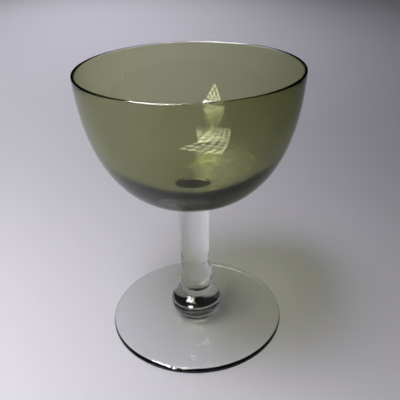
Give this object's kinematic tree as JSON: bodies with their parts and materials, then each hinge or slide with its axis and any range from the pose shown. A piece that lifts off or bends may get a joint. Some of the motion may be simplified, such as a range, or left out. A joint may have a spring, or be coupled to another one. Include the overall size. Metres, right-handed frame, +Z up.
{
  "type": "champagne coupe",
  "caption": "Stemmed champagne glass with a deep rounded bowl of smoked green glass, a solid clear stem, a flattened knop and a flat round foot.",
  "frame": {"origin": "centre of the foot's underside, in the plane that the glass stands on", "axes": "+Z up along the axis of the stem, towards the rim; the glass is round about Z, so X and Y are any two square directions across it"},
  "size_m": [0.088, 0.088, 0.119],
  "materials": {
    "smoke_green_glass": "smooth fire-polished glass: an even layer of smoky olive green, cased under the inside of clear glass, so the heavy base is clear and only looks black where it bends the dark room into view",
    "clear_glass": "smooth fire-polished clear glass with the faintest grey-green cast, and a few small seed bubbles in the stem"
  },
  "bodies": {
    "root": {"bowl": "smoke_green_glass", "stem": "clear_glass", "knop": "clear_glass", "foot": "clear_glass"}
  },
  "joints": []
}
